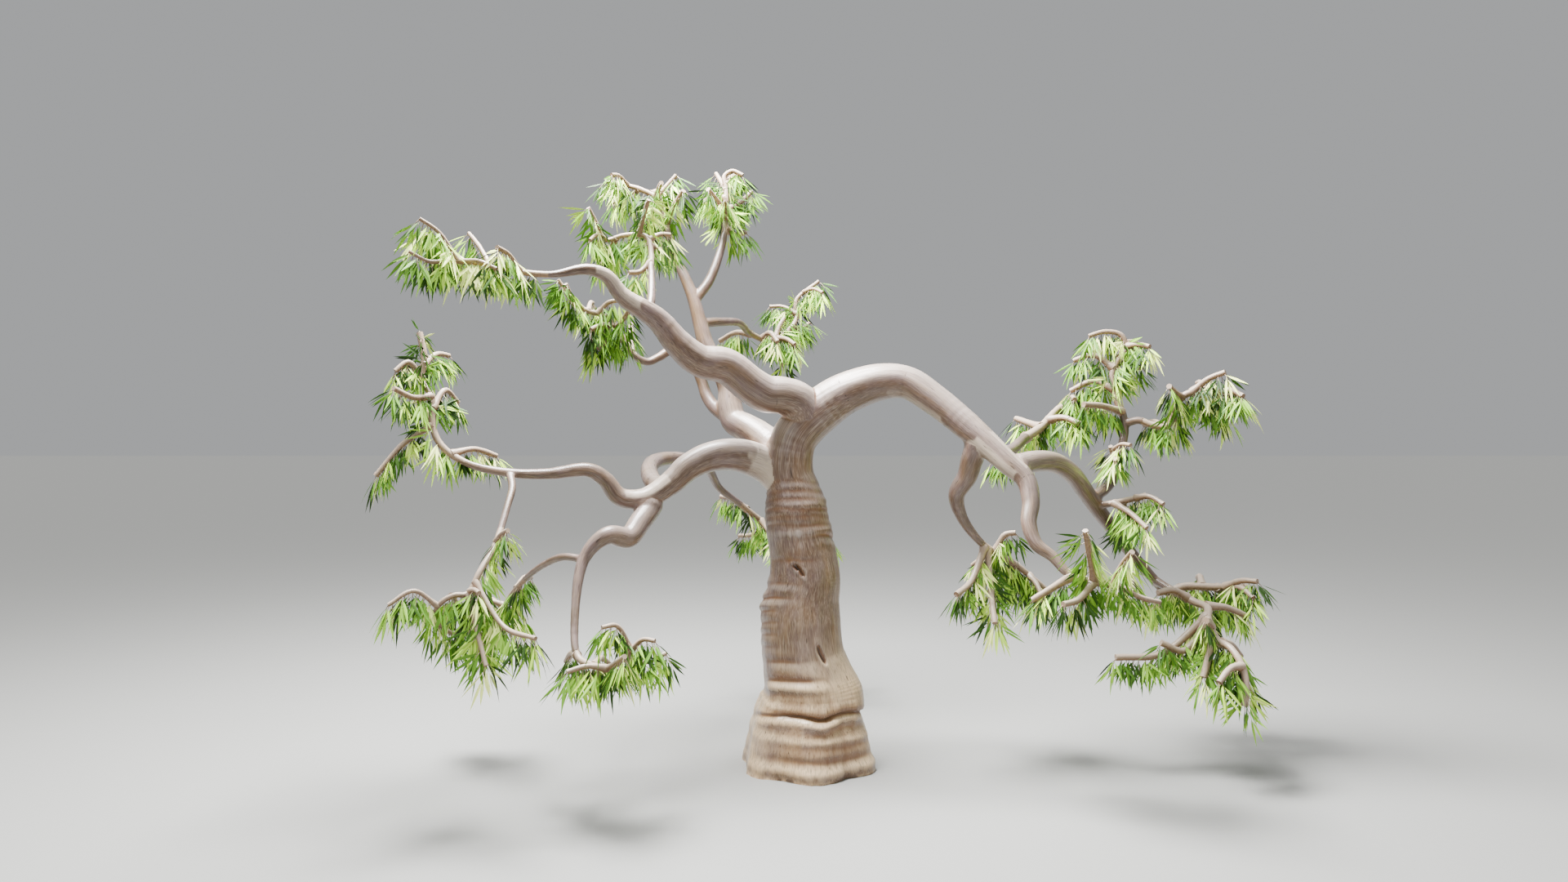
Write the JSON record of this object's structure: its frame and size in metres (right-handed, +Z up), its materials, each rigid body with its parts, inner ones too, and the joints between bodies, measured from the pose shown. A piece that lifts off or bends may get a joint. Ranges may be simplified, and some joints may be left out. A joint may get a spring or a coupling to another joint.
{
  "type": "scribbly gum tree",
  "caption": "Crooked gum tree with a flared, folded trunk, bare winding boughs and tufts of narrow hanging leaves, rooted at the flat cut under its trunk.",
  "frame": {"origin": "middle of the flat cut under the trunk, at ground level", "axes": "+Z up, +X to the right along the crown's wide way as the picture shows it, +Y away from the side that the picture shows"},
  "size_m": [8.1029, 4.6096, 5.7363],
  "materials": {
    "trunk_bark": "satin",
    "bough_bark": "satin",
    "branch_bark": "satin",
    "foliage": "satin"
  },
  "bodies": {
    "root": {"trunk": "trunk_bark", "right_bough_arch": "bough_bark", "right_bough_shoulder": "bough_bark", "right_bough_fall": "bough_bark", "upper_left_bough": "bough_bark", "lower_left_bough": "bough_bark", "far_right_bough": "bough_bark", "back_bough": "branch_bark", "back_loop_branch": "branch_bark", "drooping_left_branch": "branch_bark", "hanging_left_branch": "branch_bark", "inner_right_branch": "branch_bark", "left_riser": "branch_bark", "low_left_branch": "branch_bark", "middle_left_branch": "branch_bark", "rear_branch": "branch_bark", "right_back_branch": "branch_bark", "top_branch": "branch_bark", "upper_right_branch": "branch_bark", "back_loop_foliage": "foliage", "drooping_left_foliage": "foliage", "far_right_foliage": "foliage", "hanging_left_foliage": "foliage", "inner_right_foliage": "foliage", "left_riser_foliage": "foliage", "low_left_foliage": "foliage", "lower_left_foliage": "foliage", "lowest_right_foliage": "foliage", "middle_left_foliage": "foliage", "rear_foliage": "foliage", "right_back_foliage": "foliage", "right_bough_foliage": "foliage", "right_middle_foliage": "foliage", "right_tier_foliage": "foliage", "right_tuft_foliage": "foliage", "top_foliage": "foliage", "top_left_foliage": "foliage", "upper_left_foliage": "foliage", "upper_right_foliage": "foliage"}
  },
  "joints": []
}
